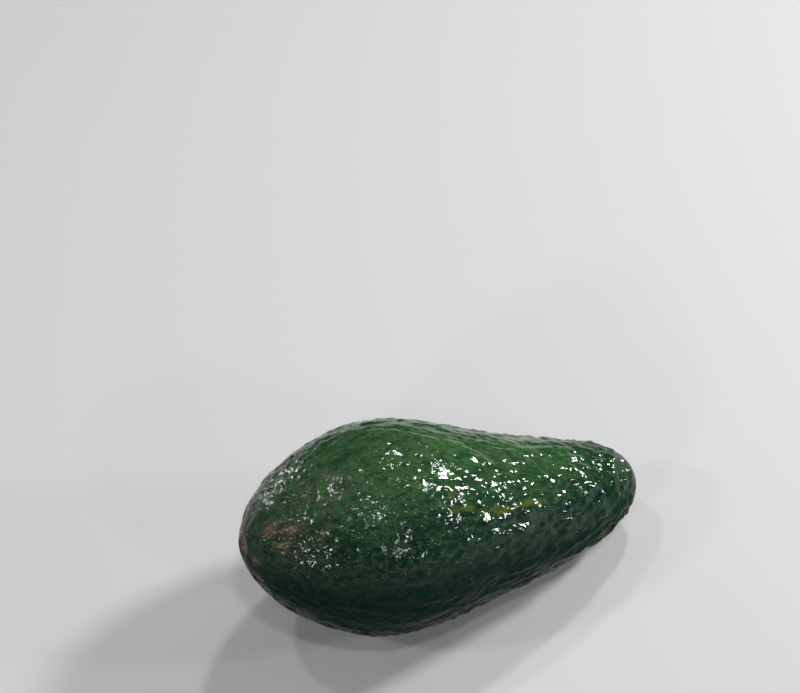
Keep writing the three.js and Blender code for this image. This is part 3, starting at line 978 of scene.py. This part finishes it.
def add_floor():
    mesh = bpy.data.meshes.new("floor")
    corners = [(-FLOOR_HALF, -FLOOR_HALF, 0), (FLOOR_HALF, -FLOOR_HALF, 0)]
    corners += [(FLOOR_HALF, FLOOR_HALF, 0), (-FLOOR_HALF, FLOOR_HALF, 0)]
    mesh.from_pydata(corners, [], [(0, 1, 2, 3)])
    floor = bpy.data.objects.new("floor", mesh)
    bpy.context.scene.collection.objects.link(floor)
    floor.data.materials.append(floor_material())


def camera_axes():
    """The camera's right, up and forward directions."""
    a, e = CAMERA_AZIMUTH, CAMERA_ELEVATION
    right = Vector((math.cos(a), math.sin(a), 0))
    forward = Vector((-math.sin(a) * math.cos(e), math.cos(a) * math.cos(e), -math.sin(e)))
    return right, right.cross(forward), forward


def fruit_middle():
    middle = droop(core_line(MIDDLE_ALONG)[0]) - CONTACT - np.array([0, 0, FLAT_DEPTH])
    return Vector(middle * MM)


def add_camera():
    right, up, forward = camera_axes()
    focal_pixels = LENS_MM / SENSOR_MM * FRAME_WIDTH
    distance = focal_pixels / PIXELS_PER_MM * MM
    off_right = (MIDDLE_PIXEL[0] - FRAME_WIDTH / 2) / PIXELS_PER_MM * MM
    off_down = (MIDDLE_PIXEL[1] - FRAME_HEIGHT / 2) / PIXELS_PER_MM * MM
    data = bpy.data.cameras.new("camera")
    data.lens = LENS_MM
    data.sensor_width = SENSOR_MM
    data.clip_start = CLIP_START
    camera = bpy.data.objects.new("camera", data)
    bpy.context.scene.collection.objects.link(camera)
    place = fruit_middle() - right * off_right + up * off_down - forward * distance
    turn = Matrix((right, up, -forward)).transposed().to_4x4()
    camera.matrix_world = Matrix.Translation(place) @ turn
    bpy.context.scene.camera = camera


# Lights: name, degrees round from straight behind towards the right as the camera sees it, degrees up,
# distance and sides in metres, radiance.
LIGHTS = (
    ("main", 20, 56, 1.2, (0.082, 0.082), 260.0),
    ("key", 64, 37, 1.2, (0.185, 0.18), 135.0),
    ("key_right", 95, 17, 1.2, (0.085, 0.15), 125.0),
    ("low_lamp", 54, 3, 1.2, (0.13, 0.11), 150.0),
    ("window", -42, 9, 1.2, (0.13, 0.09), 60.0),
    ("left_high", -66, 62, 1.2, (0.075, 0.075), 150.0),
    ("left_low", -112, 36, 1.2, (0.085, 0.085), 150.0),
    ("front_high", 170, 64, 1.2, (0.07, 0.07), 170.0),
    ("front_left", -150, 22, 1.2, (0.09, 0.08), 150.0),
    ("front_right", 140, 30, 1.2, (0.07, 0.07), 110.0),
    ("overhead", -30, 78, 1.5, (1.6, 1.6), 0.15),
)


def add_lights():
    right, up, forward = camera_axes()
    behind = Vector((forward.x, forward.y, 0)).normalized()
    middle = fruit_middle()
    for name, azimuth, elevation, distance, sides, radiance in LIGHTS:
        a, e = math.radians(azimuth), math.radians(elevation)
        level = behind * math.cos(a) + right * math.sin(a)
        way = level * math.cos(e) + Vector((0, 0, math.sin(e)))
        data = bpy.data.lights.new(name, "AREA")
        data.shape = "RECTANGLE"
        data.size, data.size_y = sides
        data.energy = radiance * math.pi * sides[0] * sides[1]
        light = bpy.data.objects.new(name, data)
        bpy.context.scene.collection.objects.link(light)
        light.location = middle + way * distance
        light.rotation_euler = way.to_track_quat("Z", "Y").to_euler()


# Light from all round: a faint cool sky.
SKY_COLOUR = (0.85, 0.95, 1.0, 1)
SKY_STRENGTH = 0.05


def add_surroundings():
    world = bpy.data.worlds.new("studio")
    world.use_nodes = True
    background = world.node_tree.nodes["Background"]
    background.inputs["Color"].default_value = SKY_COLOUR
    background.inputs["Strength"].default_value = SKY_STRENGTH
    bpy.context.scene.world = world
    bpy.context.scene.view_settings.view_transform = "Standard"


add_camera()
add_lights()
add_surroundings()
add_floor()

skin = fruit_skin()
skin.data.materials.append(skin_material())
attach(skin, "root")
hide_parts("fruit")

stub = stalk_stub()
stub.data.materials.append(stub_material())
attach(stub, "root")
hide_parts("stem_button")
